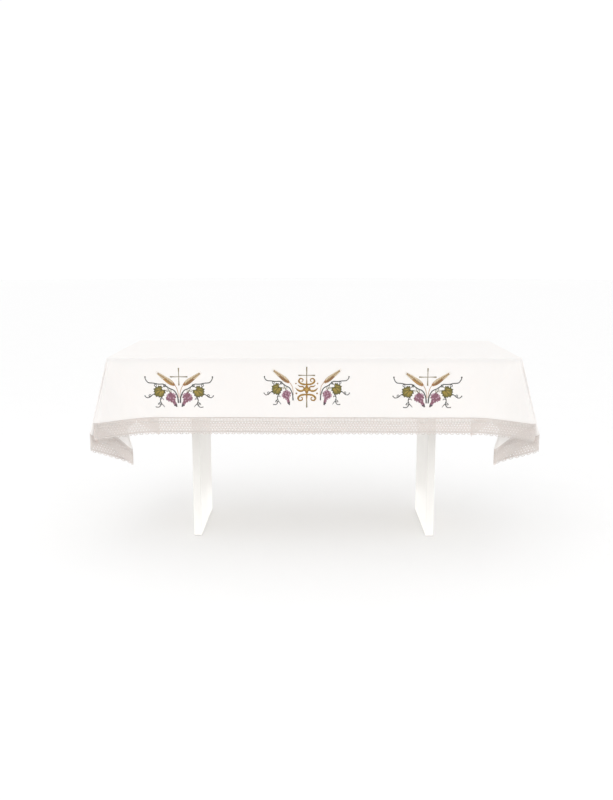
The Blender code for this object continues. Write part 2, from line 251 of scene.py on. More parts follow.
class Drape:
    """Carries points of the flat cloth to their places on the table, and tells how large it is."""

    def __init__(self, sizes):
        self.hang_front = BEND_FOOT - (TABLE_HEIGHT - sizes.front_drop)
        self.hang_side = BEND_FOOT - (TABLE_HEIGHT - sizes.side_drop)
        self.sizes = sizes
        self.core = np.array([HALF_LENGTH, HALF_DEPTH]) - CORNER_RADIUS
        self.half = self.core + BEND_END + np.array([self.hang_side, self.hang_front])
        self.columns = {(x, y): self.corner(spread, sag) for x, y, spread, sag in CORNERS}

    def corner(self, spread, sag):
        """Columns at a corner, from the middle of the front drop to the middle of the side drop."""
        hem_run, edge_run, out_x, out_y, drop = rounded_folds().T
        out = np.stack([out_x, out_y], axis=1)
        clear = np.minimum(1.0, np.abs(out - HANG_OUT).min(axis=1) / FULL_SPREAD_OUT)
        drawn = np.sin(math.pi / 2 * clear)
        out = out * (1 + (spread - 1) * drawn)[:, None]
        drop = drop + sag * drawn
        front = (-self.half[0], -ARC - self.core[0], -HALF_LENGTH, HANG_OUT, self.sizes.front_drop)
        side = (self.half[1], ARC + self.core[1], HANG_OUT, -HALF_DEPTH, self.sizes.side_drop)
        middle = np.stack([hem_run, edge_run, out[:, 0], out[:, 1], drop], axis=1)
        return np.vstack([front, middle, side])

    def straight_sway(self, flat, hem_run):
        """How far straight drops sway out at the hem: X on the ends, Y on the front and back."""
        start, end = FOLDS[0, 0], FOLDS[-1, 0]
        lengths = 2 * (HALF_LENGTH + FOLDS[0, 2]), 2 * (HALF_DEPTH + FOLDS[-1, 3])
        starts = -start, 2 * HALF_LENGTH + 2 * self.sizes.side_drop + end
        straight = hem_run < start, hem_run > end
        sway = np.zeros((len(flat), 2))
        for axis in (0, 1):
            part = np.clip(0.5 + flat[:, axis] / lengths[axis], 0.0, 1.0)
            run = starts[axis] + part * lengths[axis]
            wave = np.sin(2 * math.pi * run / self.sizes.sway_length) * np.sin(math.pi * part)
            sway[:, 1 - axis] = np.where(straight[axis], self.sizes.sway * wave, 0.0)
        return sway

    def place(self, flat):
        """Places of flat points, on the middle of the cloth, without its creases."""
        sides = np.where(flat < 0, -1, 1)
        beyond = np.abs(flat) - self.core
        reach = beyond.max(axis=1)
        on_end = beyond[:, 0] > beyond[:, 1]
        placed = np.empty((len(flat), 3))
        placed[:, :2] = np.abs(flat)
        placed[:, 2] = TABLE_HEIGHT + LIE_ABOVE
        over = np.flatnonzero((reach > 0) & (reach <= BEND_END))
        along = np.where(on_end, reach - beyond[:, 1], beyond[:, 0] - reach)[over]
        placed[over] = self.over_edge(along, reach[over])
        hanging = beyond - BEND_END
        depth = np.maximum(hanging[:, 1] / self.hang_front, hanging[:, 0] / self.hang_side)
        low = np.flatnonzero(reach > BEND_END)
        for (side_x, side_y), columns in self.columns.items():
            here = low[(sides[low, 0] == side_x) & (sides[low, 1] == side_y)]
            if len(here):
                placed[here] = self.hang(flat[here], hanging[here], depth[here], columns)
        placed[:, :2] *= sides
        return placed

    def edge(self, along, reach):
        """Plan of a point that lies along the table's edge, at a distance from the board's corner centres."""
        within = np.clip(np.abs(along) / np.maximum(reach, 1e-9), 0.0, 1.0)
        angle = math.pi / 4 * (1 - np.sign(along) * within)
        shift = np.maximum(0.0, np.abs(along) - reach)
        core = self.core - np.stack([shift * (along < 0), shift * (along > 0)], axis=1)
        return core, np.stack([np.cos(angle), np.sin(angle)], axis=1)

    def over_edge(self, along, reach):
        """The board's rim and the bend over its edge."""
        core, outward = self.edge(along, reach)
        turn = np.clip((reach - BEND_START) / BEND_LENGTH, 0.0, 1.0) * math.pi / 2
        out = np.minimum(reach, BEND_START) + BEND_RADIUS * np.sin(turn)
        placed = np.empty((len(along), 3))
        placed[:, :2] = core + out[:, None] * outward
        placed[:, 2] = BEND_FOOT + BEND_RADIUS * np.cos(turn)
        return placed

    def hang(self, flat, hanging, depth, columns):
        """The drops: each point lies on a column between the table's edge and the hem."""
        on_end = hanging[:, 0] / self.hang_side > hanging[:, 1] / self.hang_front
        after, before = depth * self.hang_front - hanging[:, 1], hanging[:, 0] - depth * self.hang_side
        along = np.where(on_end, after, before)
        hem_run, edge_run = columns[:, 0], columns[:, 1]
        edge_run_flat = np.where(
            np.abs(edge_run) < ARC,
            edge_run * BEND_END / ARC,
            np.sign(edge_run) * (BEND_END + np.abs(edge_run) - ARC),
        )
        lines = (1 - depth)[:, None] * edge_run_flat + depth[:, None] * hem_run
        index = np.clip((lines <= along[:, None]).sum(axis=1) - 1, 0, len(columns) - 2)
        rows = np.arange(len(flat))
        part = (along - lines[rows, index]) / (lines[rows, index + 1] - lines[rows, index])
        part = np.clip(part, 0.0, 1.0)[:, None]
        here = (1 - part) * columns[index] + part * columns[index + 1]
        core, outward = self.edge(here[:, 1], np.full(len(flat), ARC))
        top = core + (CORNER_RADIUS + HANG_OUT) * outward
        out = here[:, 2:4] + self.straight_sway(flat, here[:, 0])
        hem = np.array([HALF_LENGTH, HALF_DEPTH]) + out
        start = UNDER_START * np.clip(1 - out.max(axis=1) / HANG_OUT, 0.0, 1.0)
        aside = np.maximum(0.0, depth - start) / (1 - start)
        placed = np.empty((len(flat), 3))
        placed[:, :2] = top + aside[:, None] * (hem - top)
        placed[:, 2] = BEND_FOOT + depth * (TABLE_HEIGHT - here[:, 4] - BEND_FOOT)
        return placed

    def flat_place(self, side, run, depth):
        """The flat point a distance below the table top on the straight part of one side."""
        below = depth - (TABLE_HEIGHT - BEND_FOOT) + BEND_END
        x = {"front": run, "back": run, "left": -self.core[0] - below, "right": self.core[0] + below}[side]
        y = {"front": -self.core[1] - below, "back": self.core[1] + below, "left": run, "right": run}[side]
        return np.array([x, y])

    def relief(self, flat):
        """How far creases, soft waves and the turned hem stand off the smooth drape."""
        x, y = flat.T
        past = np.abs(flat) - self.core
        beyond = past.max(axis=1)
        run = np.where(past[:, 0] > past[:, 1], y, x)
        waves = DROP_WAVES[0] * np.sin(41 * run + 3 * y) + DROP_WAVES[1] * np.sin(67 * run + 1.3 - 5 * x)
        ripple = np.sin(9 * x + 5 * y) * np.sin(6 * x - 11 * y + 0.7)
        raised = smooth_step(BEND_END, BEND_END + 0.10, beyond) * waves
        raised += smooth_step(0.0, -0.05, beyond) * TOP_WAVE * (1 + ripple)
        for side, path, height, width in CREASES:
            points = np.array([self.flat_place(side, *place) for place in path])
            near = np.full(len(flat), np.inf)
            ends = np.zeros(len(flat))
            for index, (start, end) in enumerate(zip(points, points[1:])):
                way = end - start
                part = np.clip(((flat - start) @ way) / (way @ way), 0.0, 1.0)
                distance = np.linalg.norm(flat - start - part[:, None] * way, axis=1)
                nearer = distance < near
                near = np.where(nearer, distance, near)
                ends = np.where(nearer, (index + part) / (len(points) - 1), ends)
            taper = smooth_step(0.0, 0.3, ends) * (1 - 0.6 * smooth_step(0.75, 1.0, ends))
            raised += height * taper * np.exp(-((near / width) ** 2))
        to_hem = (self.half - np.abs(flat)).min(axis=1)
        return raised + self.sizes.hem_rise * smooth_step(self.sizes.hem, self.sizes.hem - HEM_SLOPE, to_hem)

    def surface(self, flat, rise=0.0):
        """Places of flat points on the creased cloth, raised off it along its normal."""
        step = 0.0006
        inner = np.clip(flat, -self.half + step, self.half - step)
        east = self.place(inner + (step, 0.0)) - self.place(inner - (step, 0.0))
        north = self.place(inner + (0.0, step)) - self.place(inner - (0.0, step))
        normals = np.cross(east, north)
        normals /= np.maximum(np.linalg.norm(normals, axis=1, keepdims=True), 1e-12)
        return self.place(flat) + (self.relief(flat) + rise)[:, None] * normals

    def hem_line(self, side, run):
        """Flat places of the hem, run metres from the left end of a side seen from outside."""
        half, edge = self.half if side in ("front", "back") else self.half[::-1]
        along = np.clip(run, 0.0, 2 * half) - half
        edge = np.full(len(run), edge)
        flat = {
            "front": (along, -edge),
            "right": (edge, along),
            "back": (-along, edge),
            "left": (-edge, -along),
        }[side]
        return np.stack(flat, axis=1)


# Making a piece


def new_object(name, mesh_data, materials):
    """Makes a bmesh an object at the origin, shaded smooth."""
    mesh = bpy.data.meshes.new(name)
    mesh_data.to_mesh(mesh)
    mesh_data.free()
    for material in materials:
        mesh.materials.append(material)
    mesh.shade_smooth()
    made = bpy.data.objects.new(name, mesh)
    bpy.context.scene.collection.objects.link(made)
    return made


def points_of(mesh):
    flat = np.empty(3 * len(mesh.vertices))
    mesh.vertices.foreach_get("co", flat)
    return flat.reshape(-1, 3)


def set_points(mesh, points):
    mesh.vertices.foreach_set("co", np.ascontiguousarray(points, np.float32).ravel())
    mesh.update()


def keep_flat_uv(mesh, flat):
    """A UV map in metres of the flat cloth or lace, so that threads and stitches follow it."""
    layer = mesh.uv_layers.get("flat") or mesh.uv_layers.new(name="flat")
    corners = np.empty(len(mesh.loops), np.int32)
    mesh.loops.foreach_get("vertex_index", corners)
    layer.uv.foreach_set("vector", np.ascontiguousarray(flat[corners, :2], np.float32).ravel())


def solidify(made, thickness, offset):
    wall = made.modifiers.new("wall", "SOLIDIFY")
    wall.thickness = thickness
    wall.offset = offset
    wall.use_even_offset = False
    return wall


# Materials

WAVE_SCALE = math.pi / 20  # of a wave texture that has one band a metre


def set_inputs(tree, node, links):
    """Sets inputs by name or number: to another node's first output, a given output, or a plain value."""
    for name, value in links.items():
        if isinstance(value, bpy.types.Node):
            value = value.outputs[0]
        if isinstance(value, bpy.types.NodeSocket):
            tree.links.new(value, node.inputs[name])
        else:
            node.inputs[name].default_value = value


def add_node(tree, kind, links=None, **settings):
    """Adds a shader node with its settings and links."""
    made = tree.nodes.new("ShaderNode" + kind)
    for name, value in settings.items():
        setattr(made, name, value)
    set_inputs(tree, made, links or {})
    return made


def new_material(name):
    material = bpy.data.materials.new(name)
    material.use_nodes = True
    return material, material.node_tree


def finish(material, part, tone, shares, bump, looks):
    """Gives the shader a colour that varies by part between two shares of a tone, a bump of (height,
    strength, distance) and its other looks."""
    tree = material.node_tree
    dark, light = [[min(1.0, share * channel) for channel in tone[:3]] + [1.0] for share in shares]
    links = {"Base Color": add_node(tree, "Mix", {0: part, 6: dark, 7: light}, data_type="RGBA").outputs[2]}
    if bump:
        links["Normal"] = add_node(tree, "Bump", dict(zip(("Height", "Strength", "Distance"), bump)))
    set_inputs(tree, tree.nodes["Principled BSDF"], {**links, **looks})
    return material


def bleached_linen(sizes, half):
    """Woven bleached linen: matt, with fine uneven threads, a soft sheen at a grazing angle and a turned hem
    whose stitches show as small dents. Threads are really 0.5 mm apart and are drawn coarser to show."""
    material, tree = new_material("bleached_linen")
    flat = add_node(tree, "UVMap", uv_map="flat")
    scale = WAVE_SCALE / sizes.thread
    threads = {"Vector": flat, "Scale": scale, "Distortion": 0.6, "Detail": 1.0, "Detail Scale": 0.4}
    warp = add_node(tree, "TexWave", threads, bands_direction="X").outputs["Fac"]
    weft = add_node(tree, "TexWave", threads, bands_direction="Y").outputs["Fac"]
    woven = add_node(tree, "Math", {0: warp, 1: weft}, operation="MULTIPLY")
    # Slubs: thick places 56 mm long and 4 mm wide
    slub_way = add_node(tree, "Mapping", {"Vector": flat, "Scale": (18.0, 260.0, 1.0)})
    slubs = add_node(tree, "TexNoise", {"Vector": slub_way, "Scale": 1.0, "Detail": 2.0})
    cloudy = add_node(tree, "TexNoise", {"Vector": flat, "Scale": 5.0, "Detail": 3.0})
    # The hem's stitches: dents 3.6 mm apart, on a line 2 mm inside the turned edge
    split = add_node(tree, "SeparateXYZ", {0: flat}).outputs
    edges = {}
    for axis in (0, 1):
        away = add_node(tree, "Math", {0: split[axis]}, operation="ABSOLUTE")
        edges[axis] = add_node(tree, "Math", {0: half[axis], 1: away}, operation="SUBTRACT")
    to_hem = add_node(tree, "Math", edges, operation="MINIMUM")
    line = add_node(tree, "Math", {0: to_hem, 1: sizes.hem - 0.002, 2: 0.0009}, operation="COMPARE")
    along = add_node(tree, "Math", {0: split[0], 1: split[1]}, operation="ADD")
    sway = add_node(tree, "Math", {0: along, 1: 0.0018}, operation="PINGPONG")
    dash = add_node(tree, "Math", {0: sway, 1: 0.0006}, operation="GREATER_THAN")
    stitch = add_node(tree, "Math", {0: line, 1: dash}, operation="MULTIPLY")
    thick = add_node(tree, "Math", {0: slubs, 1: 0.6}, operation="MULTIPLY")
    raised = add_node(tree, "Math", {0: woven, 1: 0.5, 2: thick}, operation="MULTIPLY_ADD")
    height = add_node(tree, "Math", {0: raised, 1: stitch}, operation="SUBTRACT")
    looks = {"Roughness": 0.88, "Specular IOR Level": 0.3, "Sheen Weight": 0.12, "Sheen Roughness": 0.5}
    soft = {"Subsurface Weight": 0.3, "Subsurface Radius": (1.0, 0.9, 0.85), "Subsurface Scale": 0.002}
    return finish(material, cloudy, sizes.linen, (0.975, 1.0), (height, 0.35, 0.0003), {**looks, **soft})


def lace_cotton(sizes):
    """Mercerised lace cotton: many fine twisted threads side by side, with painted shade between them, soft
    and slightly glossy. The twist is drawn at 1.4 mm, coarser than the real 0.4 mm, so that it shows."""
    material, tree = new_material("ecru_lace_cotton")
    flat = add_node(tree, "UVMap", uv_map="flat")
    scale = WAVE_SCALE / 0.0014
    threads = {"Vector": flat, "Scale": scale, "Distortion": 3.0, "Detail": 1.0, "Detail Scale": 2.0}
    twist = add_node(tree, "TexWave", threads, bands_direction="DIAGONAL").outputs["Fac"]
    patch = add_node(tree, "TexNoise", {"Vector": flat, "Scale": 90.0, "Detail": 2.0})
    # Colour: the twist paints shade between the threads, and the patches vary the tone at random
    thread_shading_and_patch = add_node(tree, "Mix", {0: 0.4, 2: patch, 3: twist})
    looks = {"Roughness": 0.7, "Sheen Weight": 0.15}
    soft = {"Subsurface Weight": 0.4, "Subsurface Radius": (1.0, 0.85, 0.8), "Subsurface Scale": 0.002}
    return finish(material, thread_shading_and_patch, sizes.cotton, (0.86, 1.0), (twist, 0.5, 0.0003), {**looks, **soft})


def embroidery_silk(name, tone):
    """Satin-stitched rayon: parallel threads across the shape, laid close, that shine in a band where they
    turn over the padding. Each thread carries a painted highlight, with painted shade between threads.
    Threads are really 0.3 mm apart and are drawn at 1.1 mm to show."""
    material, tree = new_material(name)
    flat = add_node(tree, "UVMap", uv_map="flat")
    scale = WAVE_SCALE / 0.0011
    laid = {"Vector": flat, "Scale": scale, "Distortion": 1.2, "Detail": 1.0, "Detail Scale": 1.5}
    threads = add_node(tree, "TexWave", laid, bands_direction="X").outputs["Fac"]
    patch = add_node(tree, "TexNoise", {"Vector": flat, "Scale": 160.0, "Detail": 1.0})
    # Colour: the threads paint a highlight on each thread and shade between them, and the patches vary the tone
    # at random
    thread_shading_and_patch = add_node(tree, "Mix", {0: 0.5, 2: patch, 3: threads})
    looks = {"Roughness": 0.42, "Sheen Weight": 0.1}
    return finish(material, thread_shading_and_patch, tone, (0.72, 1.12), (threads, 0.6, 0.0002), looks)


def painted_wood(sizes):
    """Satin white paint brushed on wood: nearly even, with faint brush marks along the grain and small
    differences in gloss."""
    material, tree = new_material("satin_white_paint")
    place = add_node(tree, "TexCoord").outputs["Object"]
    turns = 1 / sizes.grain
    long_way = add_node(tree, "Mapping", {"Vector": place, "Scale": (turns, turns, 6.0)})
    brush = add_node(tree, "TexNoise", {"Vector": long_way, "Scale": 0.6, "Detail": 3.0})
    patch = add_node(tree, "TexNoise", {"Vector": place, "Scale": 7.0, "Detail": 3.0})
    gloss = add_node(tree, "MapRange", {"Value": brush, "To Min": 0.34, "To Max": 0.5})
    return finish(material, patch, sizes.paint, (0.93, 1.0), (brush, 0.25, 0.0004), {"Roughness": gloss})


def studio_floor(sizes):
    """Matt pale paper: even, with a very faint mottle."""
    material, tree = new_material("matt_studio_paper")
    place = add_node(tree, "TexCoord").outputs["Object"]
    patch = add_node(tree, "TexNoise", {"Vector": place, "Scale": 3.0, "Detail": 2.0})
    looks = {"Roughness": 0.9, "Specular IOR Level": 0.2}
    return finish(material, patch, sizes.floor, (0.985, 1.0), None, looks)


# Cloth


def ruled(stops):
    """Places of the grid's lines on both sides of the middle: each stop is (end, step)."""
    places = [0.0]
    for end, step in stops:
        count = max(1, round((end - places[-1]) / step))
        places += list(np.linspace(places[-1], end, count + 1)[1:])
    half = np.array(places)
    return np.concatenate([-half[:0:-1], half])


class ALTAR_OT_cloth(bpy.types.Operator):
    """Drapes the linen cloth over the table"""

    bl_idname = "altar.cloth"
    bl_label = "Drape the cloth"

    def execute(self, context):
        sizes = context.scene.altar_cloth
        drape = Drape(sizes)
        lines = []
        # On each axis: how far the middle's wide faces reach, their width, and that of the next ones
        for axis, (middle, wide, narrow) in enumerate(((0.75, 0.0110, 0.0066), (0.36, 0.0240, 0.0075))):
            core, half = drape.core[axis], drape.half[axis]
            bend = (core + BEND_START, 0.0045), (core + BEND_END, 0.0021)
            hem = (half - sizes.hem, 0.0064), (half, 0.0045)
            lines.append(ruled(((middle, wide), (core, narrow), *bend, *hem)))
        counts = [len(line) - 1 for line in lines]
        sheet = bmesh.new()
        bmesh.ops.create_grid(sheet, x_segments=counts[0], y_segments=counts[1], size=1.0)
        cloth = new_object("altar_cloth", sheet, [bleached_linen(sizes, drape.half)])
        indices = np.rint((points_of(cloth.data)[:, :2] + 1) / 2 * counts).astype(int)
        flat = np.stack([line[indices[:, axis]] for axis, line in enumerate(lines)], axis=1)
        keep_flat_uv(cloth.data, flat)
        set_points(cloth.data, drape.surface(flat))
        solidify(cloth, sizes.thickness, 0.0)
        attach(cloth, "root")
        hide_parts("cloth")
        return {"FINISHED"}


# Lace

TAPE_LEVELS = (-0.0225, -0.0185, -0.0040, 0.0014)  # edges of the heading's two tapes, from the hem
NET_TOP = -0.0248  # middle of the net's first row
NET_ROWS = 8
OUTSIDE = 0.0006  # from the net out to the tapes and the edge, so that they don't cut into it
FAR_OUTSIDE = 0.0009  # from the net out to the heading's top and the picots
PICOTS = 7
PICOT_RADIUS = 0.0013
MERGE = 0.00002  # points nearer than this are one


def lace_repeat(sizes):
    """One repeat of the lace, flat: X along the hem, Y up, with the hem at zero."""
    length, foot = sizes.repeat, -sizes.depth
    made = bmesh.new()

    def strip(place_of):
        """Adds 8 by 3 faces whose corners go where place_of says, by column and row."""
        for vert in bmesh.ops.create_grid(made, x_segments=8, y_segments=3, size=0.5)["verts"]:
            vert.co = place_of(round((vert.co.x + 0.5) * 8), round((vert.co.y + 0.5) * 3))

    def edge(part):
        """Level of the scalloped edge."""
        return foot - sizes.scallop * math.sin(math.pi * part) ** 0.6

    def heading(column, row):
        outside = FAR_OUTSIDE if row == 3 else OUTSIDE
        return (column + 0.5 * (column % 2)) / 8 * length, TAPE_LEVELS[row], outside

    def scallop(column, row):
        low = edge(column / 8)
        levels = low, low + 0.0022, foot + 0.0015 + 0.35 * (low - foot), foot + 0.0050
        return column / 8 * length, levels[row], OUTSIDE

    # Heading: a tape, a row of bars and a second tape
    strip(heading)
    gaps = []
    for face in made.faces:
        x, y, _ = face.calc_center_median()
        if TAPE_LEVELS[1] < y < TAPE_LEVELS[2] and int(x / length * 8) % 2:
            gaps.append(face)
    bmesh.ops.delete(made, geom=gaps, context="FACES")
    # Net: six-sided meshes in staggered rows, every fourth one open and the others close
    pitch = length / 4
    radius = pitch / math.sqrt(3)
    for row in range(NET_ROWS):
        for column in range(4):
            middle = ((column + 0.5 + 0.5 * (row % 2)) * pitch, NET_TOP - 1.5 * radius * row, 0.0)
            ring = bmesh.ops.create_circle(made, cap_ends=True, segments=6, radius=radius)["verts"]
            bmesh.ops.translate(made, verts=ring, vec=middle)
            face = ring[0].link_faces[0]
            is_open = row % 2 == 0 and (column + row // 2) % 2 == 0
            bar = sizes.fine_bar if is_open else sizes.broad_bar
            bmesh.ops.inset_individual(made, faces=[face], thickness=bar, use_even_offset=True)
            bmesh.ops.delete(made, geom=[face], context="FACES")
    # Edge: a scalloped band with a row of eyelets
    strip(scallop)
    made.faces.ensure_lookup_table()
    band = made.faces[len(made.faces) - 24 :]
    eyelets = [band[8 + column] for column in (1, 3, 4, 6)]
    bmesh.ops.delete(made, geom=eyelets, context="FACES")
    for place in range(PICOTS):
        part = (place + 0.5) / PICOTS
        knot = bmesh.ops.create_circle(made, cap_ends=True, segments=6, radius=PICOT_RADIUS)["verts"]
        bmesh.ops.translate(made, verts=knot, vec=(part * length, edge(part) - 0.0002, FAR_OUTSIDE))
    bmesh.ops.remove_doubles(made, verts=made.verts, dist=MERGE)
    return made


class ALTAR_OT_lace(bpy.types.Operator):
    """Hangs four lengths of lace from the hem"""

    bl_idname = "altar.lace"
    bl_label = "Hang the lace"

    def execute(self, context):
        sizes = context.scene.altar_lace
        drape = Drape(context.scene.altar_cloth)
        cotton = lace_cotton(sizes)
        repeat = bpy.data.meshes.new("lace_repeat")
        unit = lace_repeat(sizes)
        unit.to_mesh(repeat)
        unit.free()
        for side in ("front", "right", "back", "left"):
            self.hang(drape, sizes, side, repeat, cotton)
        bpy.data.meshes.remove(repeat)
        return {"FINISHED"}

    def hang(self, drape, sizes, side, repeat, cotton):
        length = 2 * float(drape.half[0 if side in ("front", "back") else 1])
        count = round(length / sizes.repeat)
        strip = bmesh.new()
        for place in range(count):
            before = len(strip.verts)
            strip.from_mesh(repeat)
            strip.verts.ensure_lookup_table()
            bmesh.ops.translate(strip, verts=strip.verts[before:], vec=(place * sizes.repeat, 0.0, 0.0))
        bmesh.ops.remove_doubles(strip, verts=strip.verts, dist=MERGE)
        bmesh.ops.scale(strip, verts=strip.verts, vec=(length / (count * sizes.repeat), 1.0, 1.0))
        lace = new_object(f"lace_edging_{side}", strip, [cotton])
        drawn = points_of(lace.data)
        keep_flat_uv(lace.data, drawn)
        step = 0.001
        hem = drape.surface(drape.hem_line(side, drawn[:, 0]))
        run = np.clip(drawn[:, 0], step, length - step)
        behind, ahead = [drape.place(drape.hem_line(side, run + way)) for way in (-step, step)]
        along = ahead - behind
        along[:, 2] = 0.0
        along /= np.linalg.norm(along, axis=1, keepdims=True)
        outward = np.stack([along[:, 1], -along[:, 0], np.zeros(len(along))], axis=1)
        placed = hem + drawn[:, 2:] * outward
        placed[:, 2] += drawn[:, 1]
        set_points(lace.data, placed)
        area = sum(face.area for face in lace.data.polygons)
        solidify(lace, sizes.thickness, 0.0)
        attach(lace, "root")
        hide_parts(f"lace_{side}")
        depth = sizes.depth + sizes.scallop
        area = min(area, length * depth)


# Embroidery


# In the order of the motifs' material slots
THREADS = (
    *("vine", "leaf", "leaf_gold", "leaf_dark", "grape", "grape_light", "grape_dark"),
    *("wheat", "wheat_shade", "wheat_pale", "wheat_base", "cross", "gold", "gold_light"),
)
STITCH_GROUND = 0.0001  # from the linen up to a stitch's edge
STITCH_WALL = 0.0003


def curve_points(path, steps=7):
    """A smooth curve through the points of a path, with steps to each stretch."""
    ends = [2 * Vector(path[0]) - Vector(path[1])], [2 * Vector(path[-1]) - Vector(path[-2])]
    points = ends[0] + [Vector(point) for point in path] + ends[1]
    curve = []
    for before, start, end, after in zip(points, points[1:], points[2:], points[3:]):
        for step in range(steps):
            part = step / steps
            square = 2 * before - 5 * start + 4 * end - after
            cube = 3 * start - before - 3 * end + after
            curve.append(0.5 * (2 * start + (end - before) * part + square * part**2 + cube * part**3))
    return curve + [points[-2]]


class Stitches:
    """A drawing in satin stitch: X to the right and Y down from the table top, in millimetres."""

    def __init__(self, place, rise):
        self.mesh = bmesh.new()
        self.uv = self.mesh.loops.layers.uv.new("flat")
        self.place = place
        self.rise = rise

    def spray(self, mirrored, aside=0.0, lift=0.0, scale=1.0):
        """Where the next shapes go: mirrored, moved away from the middle, moved up and scaled."""
        side = -1 if mirrored else 1
        self.frame = lambda point: (side * (aside + scale * point[0]), point[1] - lift)
        self.mirrored = mirrored

    def finish_shape(self, faces, thread, coords):
        """Gives a shape its thread and stitch map, and turns it to face outwards."""
        for face in faces:
            face.material_index = THREADS.index(thread)
            face.smooth = True
            for loop in face.loops:
                loop[self.uv].uv = coords[loop.vert]
        bmesh.ops.recalc_face_normals(self.mesh, faces=faces)
        if sum(face.normal.z * face.calc_area() for face in faces) < 0:
            bmesh.ops.reverse_faces(self.mesh, faces=faces)

    def put(self, vert, point, height):
        x, down = self.frame(point)
        vert.co = (self.place + x / 1000, -down / 1000, STITCH_GROUND + height * self.rise)

    def line(self, path, widths, thread, height=1.0, steps=7):
        """A satin-stitched line along a path, with its widths at the ends and between."""
        points = curve_points(path, steps)
        count = len(points) - 1
        verts = bmesh.ops.create_grid(self.mesh, x_segments=count, y_segments=4, size=1.0)["verts"]
        gone = np.cumsum([0.0] + [(end - start).length for start, end in zip(points, points[1:])])
        shares = gone / gone[-1]
        spread = np.interp(shares, np.linspace(0.0, 1.0, len(widths)), widths)
        coords = {}
        for vert in verts:
            index = round((vert.co.x + 1) / 2 * count)
            across = vert.co.y
            way = points[min(index + 1, count)] - points[max(index - 1, 0)]
            normal = Vector((-way.y, way.x)).normalized()
            point = points[index] + normal * across * spread[index] / 2
            coords[vert] = (gone[index] / 1000, across * spread[index] / 2000)
            self.put(vert, point, height * max(0.0, 1 - across * across) ** 0.5)
        faces = {face for vert in verts for face in vert.link_faces}
        self.finish_shape(list(faces), thread, coords)

    def disc(self, middle, outline, thread, height=1.0, segments=14, turn=0.0):
        """A padded shape round a point. outline is its radius, or gives its radius at an angle."""
        chain = [self.mesh.verts.new((part, 0.0, 0.0)) for part in (0.0, 0.45, 0.8, 1.0)]
        links = [self.mesh.edges.new(pair) for pair in zip(chain, chain[1:])]
        full = {"cent": (0, 0, 0), "axis": (0, 0, 1), "angle": 2 * math.pi, "use_merge": True}
        bmesh.ops.spin(self.mesh, geom=chain + links, steps=segments, use_duplicate=False, **full)
        faces = {face for vert in chain for face in vert.link_faces}
        grown = set(faces)
        while grown:
            grown = {other for face in grown for edge in face.edges for other in edge.link_faces} - faces
            faces |= grown
        coords = {}
        for vert in {vert for face in faces for vert in face.verts}:
            part = vert.co.xy.length
            angle = math.atan2(vert.co.y, vert.co.x)
            radius = part * (outline(angle) if callable(outline) else outline)
            point = Vector(middle) + radius * Vector((math.cos(angle + turn), math.sin(angle + turn)))
            coords[vert] = ((point.x * 0.8 + point.y * 0.6) / 1000, (point.y * 0.8 - point.x * 0.6) / 1000)
            self.put(vert, point, height * max(0.0, 1 - part**2) ** 0.5)
        self.finish_shape(list(faces), thread, coords)


def leaf_outline(size):
    """The outline of a vine leaf: five shallow pointed lobes, a notch at the stalk, and teeth."""

    def outline(angle):
        turn = (angle / (2 * math.pi)) % 1.0
        lobes = 1 - 2 * abs((5 * turn + 0.5) % 1.0 - 0.5)
        teeth = 1 - 2 * abs((13 * turn) % 1.0 - 0.5)
        notch = 0.34 * math.exp(-(((turn - 0.5) / 0.05) ** 2))
        return size * (0.78 + 0.15 * lobes + 0.19 * teeth**1.3 - notch)

    return outline


def draw_leaf(stitches, middle, radius, turn):
    """A vine leaf: an olive ground, gold satin beside the ribs, dark satin at the edges and thin veins."""
    middle = Vector(middle)
    stitches.disc(middle, leaf_outline(radius), "leaf_dark", 0.55, segments=52, turn=turn)
    stitches.disc(middle, leaf_outline(0.93 * radius), "leaf", 0.95, segments=52, turn=turn)
    root = middle - 0.50 * radius * Vector((math.cos(turn), math.sin(turn)))
    for lobe in range(-2, 3):
        angle = turn + lobe * 1.15
        for side, spread, share in ((-1, 0.20, 0.72), (1, 0.20, 0.72), (-1, 0.48, 0.60)):
            lit = angle + side * spread
            tip = middle + share * radius * Vector((math.cos(lit), math.sin(lit)))
            thread = "leaf_gold" if side < 0 or lobe == 1 else "leaf"
            path = [root + 0.2 * (tip - root), (root + tip) / 2, tip]
            stitches.line(path, (1.6, 6.4, 1.4), thread, 1.3, steps=3)
        tip = middle + 0.90 * radius * Vector((math.cos(angle), math.sin(angle)))
        stitches.line([root, (root + tip) / 2, tip], (1.3, 1.1, 0.7), "leaf_dark", 1.7, steps=3)


def draw_curl(stitches, middle, radius, start, turns, thread, width):
    """A tendril's curl: a spiral that closes in on its middle."""
    path = []
    for part in np.linspace(0.0, 1.0, 10):
        angle = start + turns * 2 * math.pi * part
        here = radius * (1 - 0.45 * part)
        path.append((middle[0] + here * math.cos(angle), middle[1] + here * math.sin(angle)))
    stitches.line(path, (width, width, 0.8 * width), thread, steps=3)


